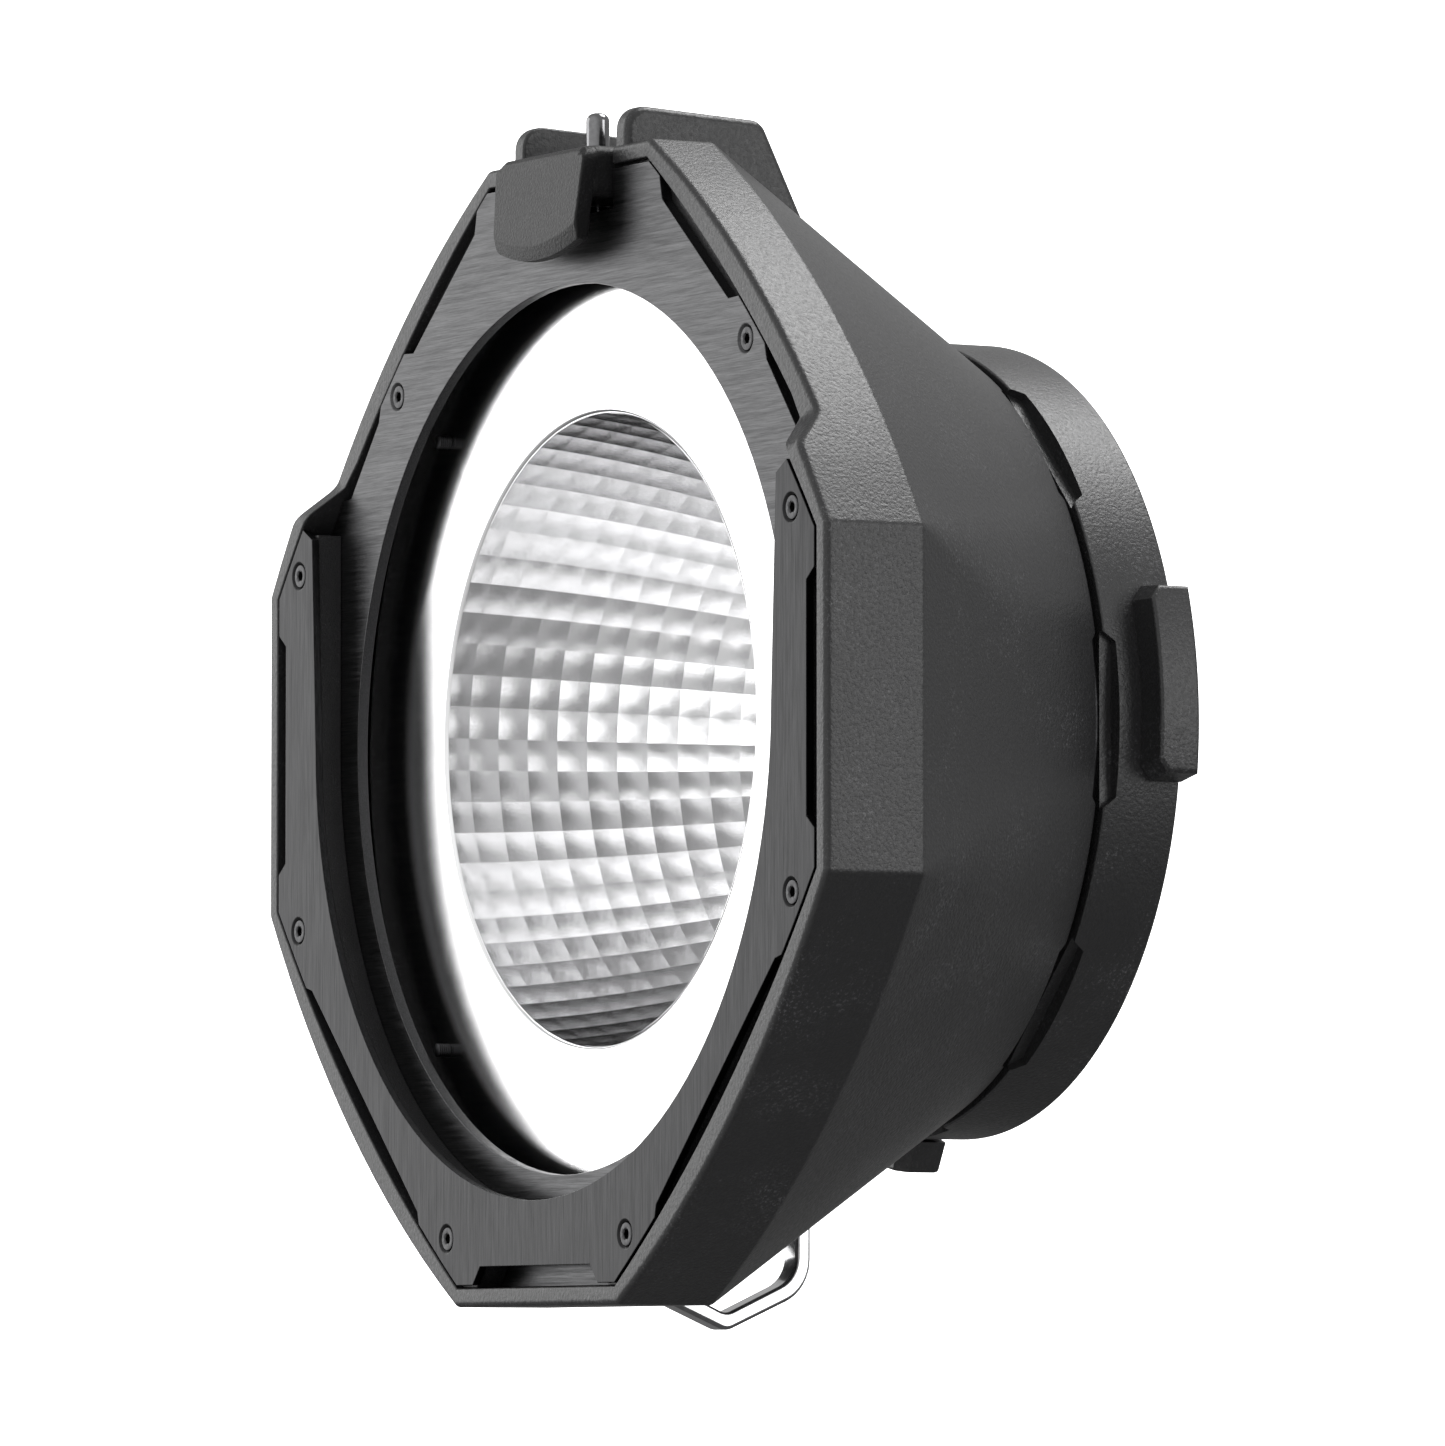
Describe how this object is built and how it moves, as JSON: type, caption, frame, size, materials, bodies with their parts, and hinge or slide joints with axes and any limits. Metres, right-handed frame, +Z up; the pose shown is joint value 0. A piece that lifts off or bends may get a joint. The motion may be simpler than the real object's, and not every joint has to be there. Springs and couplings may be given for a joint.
{
  "type": "light reflector with accessory slot",
  "caption": "Octagonal black light reflector with a faceted mirror bowl, a drop-in accessory slot, a sprung top latch, a bayonet lock ring and a safety eyelet.",
  "frame": {"origin": "on the optical axis, in the plane of the rear seat that meets the lamp head", "axes": "light leaves towards -Y, +Y points back to the lamp head, +Z is up towards the latch, +X is the right side seen from the front side of the frame"},
  "size_m": [0.2448, 0.109, 0.2589],
  "materials": {
    "housing": "fine matte texture",
    "plate": "brushed, dark anodised",
    "spacer": "matte",
    "black_screw": "black oxide",
    "mirror": "polished aluminium",
    "steel": "zinc plated",
    "polished_steel": "polished",
    "anodised": "black anodised, turned",
    "bayonet": "brushed"
  },
  "bodies": {
    "housing": {"housing_shell": "housing", "front_plate": "plate", "slot_spacer": "spacer", "back_plate": "plate", "front_plate_screws": "black_screw", "back_plate_screws": "black_screw", "reflector_flange": "mirror", "reflector_bowl": "mirror", "reflector_screws": "steel", "safety_eyelet": "polished_steel", "eyelet_screws": "steel", "rear_flange": "anodised", "rear_flange_screws": "steel", "wave_washer": "steel", "ring_retainer": "anodised", "retainer_screws": "steel", "latch_hinge_pin": "polished_steel", "latch_spring": "steel"},
    "latch": {"latch_arm": "housing", "plunger_spring": "steel"},
    "plunger": {"plunger_pin": "polished_steel", "plunger_clip": "steel"},
    "ring": {"lock_ring": "housing", "bayonet_ring": "bayonet", "bayonet_screws": "steel"}
  },
  "joints": [
    {"name": "latch_swing", "type": "hinge", "parent": "housing", "child": "latch", "pos_m": [0, -0.0543, 0.1165], "axis": [-1, 0, 0], "range_deg": [0, 100], "stiffness_Nm_per_rad": 0.02, "springref_deg": -34.38},
    {"name": "plunger_lift", "type": "slide", "parent": "latch", "child": "plunger", "axis": [0, 0, 1], "range_m": [0, 0.003], "stiffness_N_per_m": 400, "springref_m": -0.004, "deforming": ["plunger_spring"]},
    {"name": "ring_turn", "type": "hinge", "parent": "housing", "child": "ring", "pos_m": [0, 0, 0], "axis": [0, 1, 0], "range_deg": [0, 25]}
  ]
}
